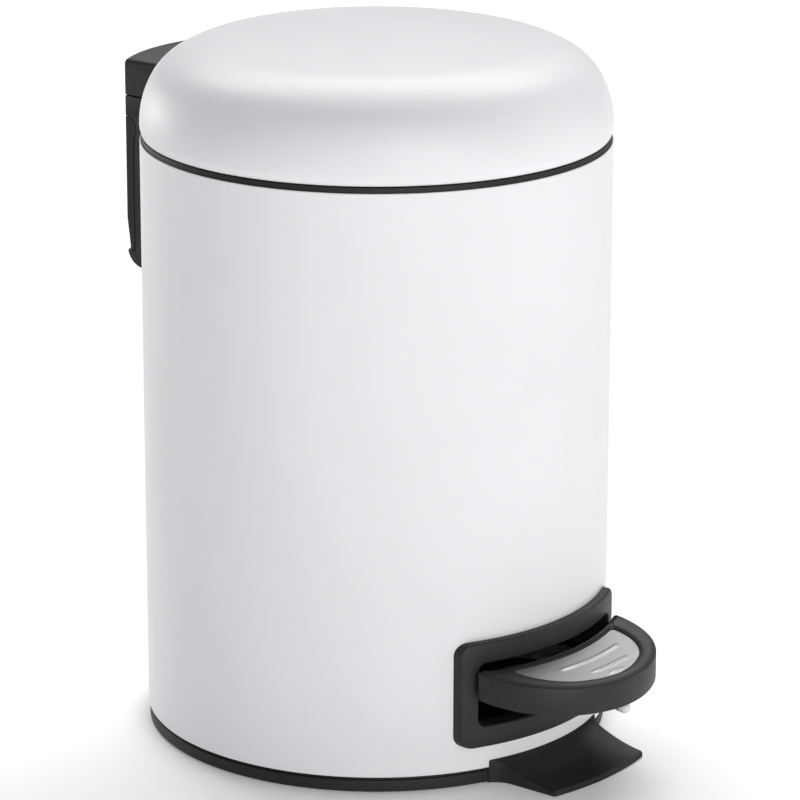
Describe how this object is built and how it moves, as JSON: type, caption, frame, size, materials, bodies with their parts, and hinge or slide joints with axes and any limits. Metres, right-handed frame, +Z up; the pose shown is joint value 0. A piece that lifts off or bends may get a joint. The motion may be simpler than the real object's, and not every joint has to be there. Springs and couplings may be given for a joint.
{
  "type": "pedal trash can",
  "caption": "Small round steel trash can with a domed lid that a foot pedal lifts, a lift-out inner bucket and a carry handle.",
  "frame": {"origin": "on the floor, on the can's axis", "axes": "+Z up along the can's axis, -Y towards the pedal, +X to the pedal's right seen from above with the pedal at the bottom"},
  "size_m": [0.168, 0.2214, 0.2556],
  "materials": {
    "powder_coat": "fine matte white powder coat",
    "black_plastic": "fine textured charcoal plastic",
    "brushed_tread": "brushed steel",
    "chrome": "bright chrome",
    "white_nylon": "white nylon",
    "zinc_steel": "zinc plated steel",
    "screw_steel": "plated screw steel",
    "grey_plastic": "dark grey polypropylene",
    "damper_plastic": "smooth dark plastic",
    "rubber": "soft black rubber"
  },
  "bodies": {
    "can": {"outer_shell": "powder_coat", "top_rim_ring": "black_plastic", "base_pan": "black_plastic", "front_foot": "black_plastic", "pedal_surround": "black_plastic", "hinge_housing": "black_plastic", "rod_guide": "white_nylon", "lever_brackets": "zinc_steel", "lever_axle": "zinc_steel", "axle_clips": "zinc_steel", "hinge_base": "zinc_steel", "backing_plate": "zinc_steel", "hinge_pin": "zinc_steel", "handle_pins": "zinc_steel", "bucket_bail": "zinc_steel", "base_screws": "screw_steel", "bracket_screws": "screw_steel", "hinge_screws": "screw_steel", "housing_screws": "screw_steel", "inner_bucket": "grey_plastic", "bail_grip": "grey_plastic", "damper_cylinder": "damper_plastic", "anti_slip_ring": "rubber"},
    "pedal": {"pedal_frame": "black_plastic", "tread_plate": "brushed_tread", "pedal_lever": "zinc_steel", "lever_bush": "white_nylon", "lever_end_pin": "zinc_steel", "pedal_screws": "screw_steel", "pedal_pin": "chrome", "pedal_pin_cap": "white_nylon"},
    "push_rod": {"push_rod": "zinc_steel", "rod_foot": "zinc_steel", "rod_head": "zinc_steel", "damper_arm": "zinc_steel", "damper_piston": "zinc_steel"},
    "lid": {"lid_shell": "powder_coat", "lid_liner": "grey_plastic", "lid_hinge_cover": "black_plastic", "lid_hinge_bracket": "zinc_steel", "crank_pin": "zinc_steel", "lid_screws": "screw_steel", "lid_bumpers": "rubber"},
    "handle": {"carry_handle": "black_plastic"}
  },
  "joints": [
    {"name": "lid_open", "type": "hinge", "parent": "can", "child": "lid", "pos_m": [0, 0.0965, 0.224], "axis": [-1, 0, 0], "range_deg": [0, 72]},
    {"name": "pedal_press", "type": "hinge", "parent": "can", "child": "pedal", "pos_m": [0, -0.0105, 0.0285], "axis": [1, 0, 0], "range_deg": [0, 12.8]},
    {"name": "push_rod_lift", "type": "slide", "parent": "can", "child": "push_rod", "axis": [0, 0, 1], "range_m": [0, 0.01998]},
    {"name": "handle_swing", "type": "hinge", "parent": "can", "child": "handle", "pos_m": [0, 0.0963, 0.2095], "axis": [1, 0, 0], "range_deg": [0, 90]}
  ],
  "couplings": [
    {"joint": "pedal_press", "follows": "lid_open", "ratio": 0.17778},
    {"joint": "push_rod_lift", "follows": "lid_open", "m_per_rad": 0.015898}
  ]
}
